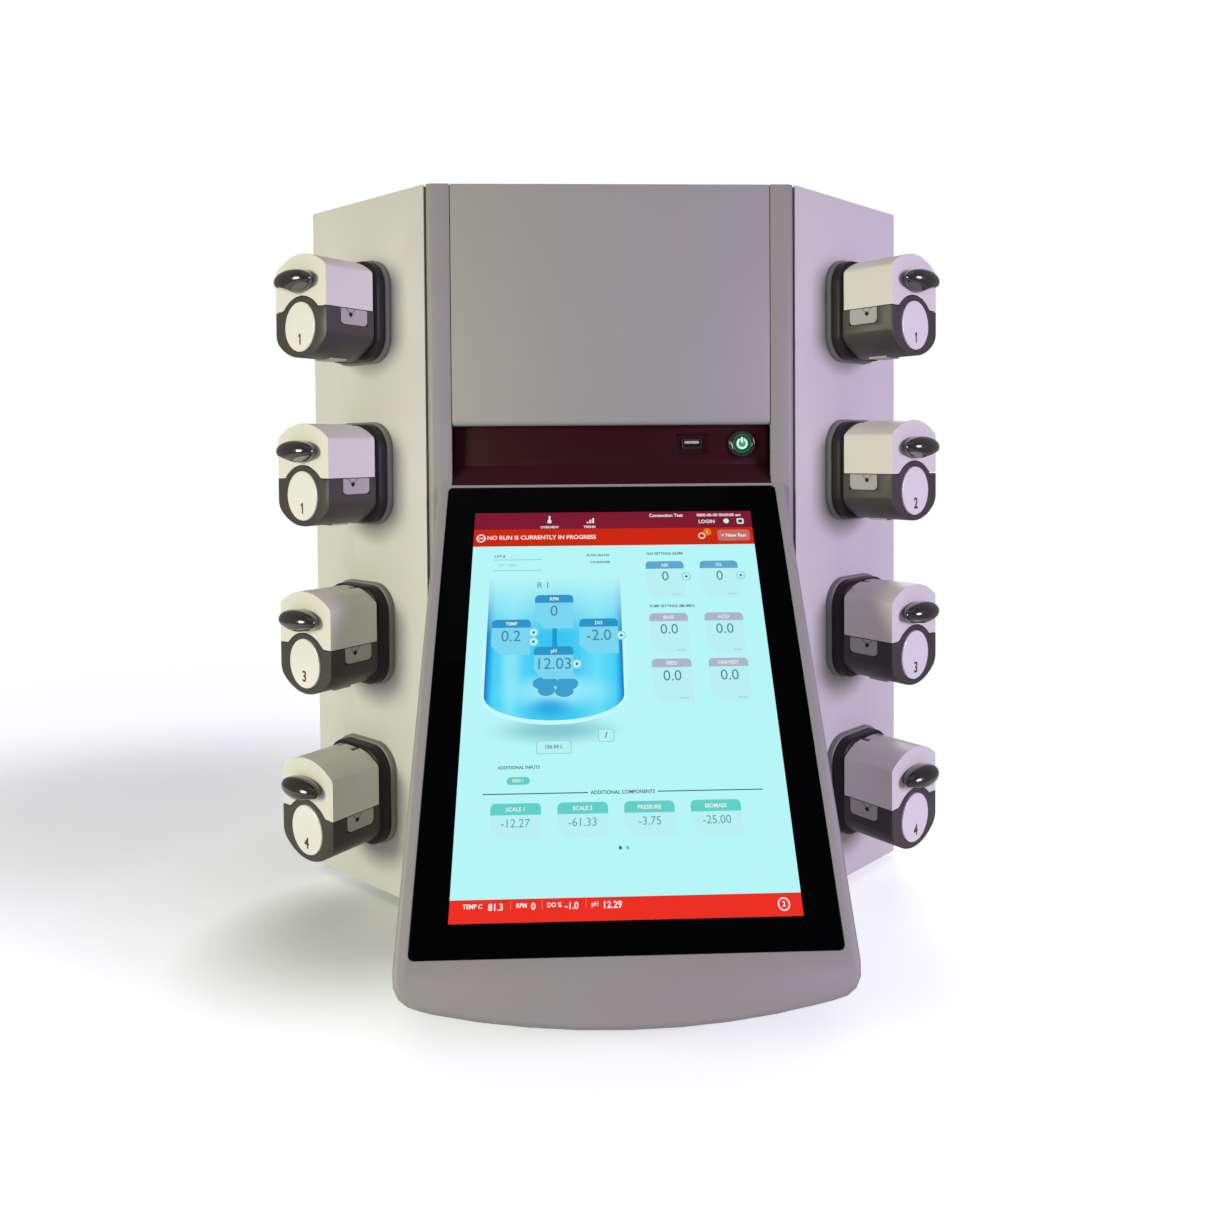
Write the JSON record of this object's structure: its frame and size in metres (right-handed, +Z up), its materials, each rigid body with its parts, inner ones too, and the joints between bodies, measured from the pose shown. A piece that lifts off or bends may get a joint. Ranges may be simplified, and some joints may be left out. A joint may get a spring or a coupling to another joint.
{
  "type": "bench bioreactor control station",
  "caption": "Bench bioreactor control station: grey cabinet with angled side covers, peristaltic pump heads, a maroon control recess and a sloped touchscreen.",
  "frame": {"origin": "centre of the bounding box, on the plane of the feet", "axes": "+Z up, the screen and the pumps face -Y, +X to the right seen from the front"},
  "size_m": [0.467, 0.4344, 0.504],
  "materials": {
    "cover_paint": "fine-textured light grey powder coat",
    "bezel_plastic": "fine-textured warm grey",
    "panel_plastic": "fine-textured warm grey",
    "recess_plastic": "dark maroon",
    "plated_steel": "plated, drawn",
    "switch_plastic": "dark, polished",
    "button_plastic": "backlit, pale green",
    "black_glass": "black printed border, polished",
    "display_case": "folded tin plate",
    "inlet_plastic": "black",
    "supply_case": "folded sheet",
    "circuit_board": "green lacquer",
    "sheet_steel": "galvanised",
    "foot_rubber": "dull black",
    "pump_body_plastic": "dark brown grey",
    "pump_lid_plastic": "light grey",
    "tab_plastic": "very dark brown, polished",
    "rotor_plastic": "light grey, smooth",
    "badge_plastic": "white, smooth"
  },
  "bodies": {
    "station": {"base_plate": "sheet_steel", "top_cover": "cover_paint", "left_side_cover": "cover_paint", "right_side_cover": "cover_paint", "rear_panel": "cover_paint", "front_bezel": "bezel_plastic", "upper_panel": "panel_plastic", "recess_panel": "recess_plastic", "usb_socket": "plated_steel", "power_switch": "switch_plastic", "touch_glass": "black_glass", "display_module": "display_case", "power_inlet": "inlet_plastic", "power_supply": "supply_case", "controller_board": "circuit_board", "foot_front_left": "foot_rubber", "foot_front_right": "foot_rubber", "foot_rear_left": "foot_rubber", "foot_rear_right": "foot_rubber", "pump_left_1_body": "pump_body_plastic", "pump_left_1_badge": "badge_plastic", "pump_left_2_body": "pump_body_plastic", "pump_left_2_badge": "badge_plastic", "pump_left_3_body": "pump_body_plastic", "pump_left_3_badge": "badge_plastic", "pump_left_4_body": "pump_body_plastic", "pump_left_4_badge": "badge_plastic", "pump_right_1_body": "pump_body_plastic", "pump_right_1_badge": "badge_plastic", "pump_right_2_body": "pump_body_plastic", "pump_right_2_badge": "badge_plastic", "pump_right_3_body": "pump_body_plastic", "pump_right_3_badge": "badge_plastic", "pump_right_4_body": "pump_body_plastic", "pump_right_4_badge": "badge_plastic"},
    "power_button": {"power_button": "button_plastic"},
    "pump_left_1_lid": {"pump_left_1_lid": "pump_lid_plastic", "pump_left_1_tab": "tab_plastic"},
    "pump_left_1_rotor": {"pump_left_1_rotor": "rotor_plastic"},
    "pump_left_2_lid": {"pump_left_2_lid": "pump_lid_plastic", "pump_left_2_tab": "tab_plastic"},
    "pump_left_2_rotor": {"pump_left_2_rotor": "rotor_plastic"},
    "pump_left_3_lid": {"pump_left_3_lid": "pump_lid_plastic", "pump_left_3_tab": "tab_plastic"},
    "pump_left_3_rotor": {"pump_left_3_rotor": "rotor_plastic"},
    "pump_left_4_lid": {"pump_left_4_lid": "pump_lid_plastic", "pump_left_4_tab": "tab_plastic"},
    "pump_left_4_rotor": {"pump_left_4_rotor": "rotor_plastic"},
    "pump_right_1_lid": {"pump_right_1_lid": "pump_lid_plastic", "pump_right_1_tab": "tab_plastic"},
    "pump_right_1_rotor": {"pump_right_1_rotor": "rotor_plastic"},
    "pump_right_2_lid": {"pump_right_2_lid": "pump_lid_plastic", "pump_right_2_tab": "tab_plastic"},
    "pump_right_2_rotor": {"pump_right_2_rotor": "rotor_plastic"},
    "pump_right_3_lid": {"pump_right_3_lid": "pump_lid_plastic", "pump_right_3_tab": "tab_plastic"},
    "pump_right_3_rotor": {"pump_right_3_rotor": "rotor_plastic"},
    "pump_right_4_lid": {"pump_right_4_lid": "pump_lid_plastic", "pump_right_4_tab": "tab_plastic"},
    "pump_right_4_rotor": {"pump_right_4_rotor": "rotor_plastic"}
  },
  "joints": [
    {"name": "power_button_press", "type": "slide", "parent": "station", "child": "power_button", "axis": [0, 1, 0], "range_m": [0, 0.0015], "stiffness_N_per_m": 1500, "springref_m": -0.001},
    {"name": "pump_left_1_lid_hinge", "type": "hinge", "parent": "station", "child": "pump_left_1_lid", "pos_m": [-0.18988, -0.0055, 0.4535], "axis": [-0.7771, 0.6293, 0], "range_deg": [0, 80]},
    {"name": "pump_left_1_rotor_spin", "type": "hinge", "parent": "station", "child": "pump_left_1_rotor", "pos_m": [-0.19712, -0.01444, 0.4081], "axis": [-0.6293, -0.7771, 0], "continuous": true},
    {"name": "pump_left_2_lid_hinge", "type": "hinge", "parent": "station", "child": "pump_left_2_lid", "pos_m": [-0.18988, -0.0055, 0.3385], "axis": [-0.7771, 0.6293, 0], "range_deg": [0, 80]},
    {"name": "pump_left_2_rotor_spin", "type": "hinge", "parent": "station", "child": "pump_left_2_rotor", "pos_m": [-0.19712, -0.01444, 0.2931], "axis": [-0.6293, -0.7771, 0], "continuous": true},
    {"name": "pump_left_3_lid_hinge", "type": "hinge", "parent": "station", "child": "pump_left_3_lid", "pos_m": [-0.18988, -0.0055, 0.2235], "axis": [-0.7771, 0.6293, 0], "range_deg": [0, 80]},
    {"name": "pump_left_3_rotor_spin", "type": "hinge", "parent": "station", "child": "pump_left_3_rotor", "pos_m": [-0.19712, -0.01444, 0.1781], "axis": [-0.6293, -0.7771, 0], "continuous": true},
    {"name": "pump_left_4_lid_hinge", "type": "hinge", "parent": "station", "child": "pump_left_4_lid", "pos_m": [-0.18988, -0.0055, 0.1085], "axis": [-0.7771, 0.6293, 0], "range_deg": [0, 80]},
    {"name": "pump_left_4_rotor_spin", "type": "hinge", "parent": "station", "child": "pump_left_4_rotor", "pos_m": [-0.19712, -0.01444, 0.0631], "axis": [-0.6293, -0.7771, 0], "continuous": true},
    {"name": "pump_right_1_lid_hinge", "type": "hinge", "parent": "station", "child": "pump_right_1_lid", "pos_m": [0.18988, -0.0055, 0.4535], "axis": [-0.7771, -0.6293, 0], "range_deg": [0, 80]},
    {"name": "pump_right_1_rotor_spin", "type": "hinge", "parent": "station", "child": "pump_right_1_rotor", "pos_m": [0.19712, -0.01444, 0.4081], "axis": [0.6293, -0.7771, 0], "continuous": true},
    {"name": "pump_right_2_lid_hinge", "type": "hinge", "parent": "station", "child": "pump_right_2_lid", "pos_m": [0.18988, -0.0055, 0.3385], "axis": [-0.7771, -0.6293, 0], "range_deg": [0, 80]},
    {"name": "pump_right_2_rotor_spin", "type": "hinge", "parent": "station", "child": "pump_right_2_rotor", "pos_m": [0.19712, -0.01444, 0.2931], "axis": [0.6293, -0.7771, 0], "continuous": true},
    {"name": "pump_right_3_lid_hinge", "type": "hinge", "parent": "station", "child": "pump_right_3_lid", "pos_m": [0.18988, -0.0055, 0.2235], "axis": [-0.7771, -0.6293, 0], "range_deg": [0, 80]},
    {"name": "pump_right_3_rotor_spin", "type": "hinge", "parent": "station", "child": "pump_right_3_rotor", "pos_m": [0.19712, -0.01444, 0.1781], "axis": [0.6293, -0.7771, 0], "continuous": true},
    {"name": "pump_right_4_lid_hinge", "type": "hinge", "parent": "station", "child": "pump_right_4_lid", "pos_m": [0.18988, -0.0055, 0.1085], "axis": [-0.7771, -0.6293, 0], "range_deg": [0, 80]},
    {"name": "pump_right_4_rotor_spin", "type": "hinge", "parent": "station", "child": "pump_right_4_rotor", "pos_m": [0.19712, -0.01444, 0.0631], "axis": [0.6293, -0.7771, 0], "continuous": true}
  ]
}
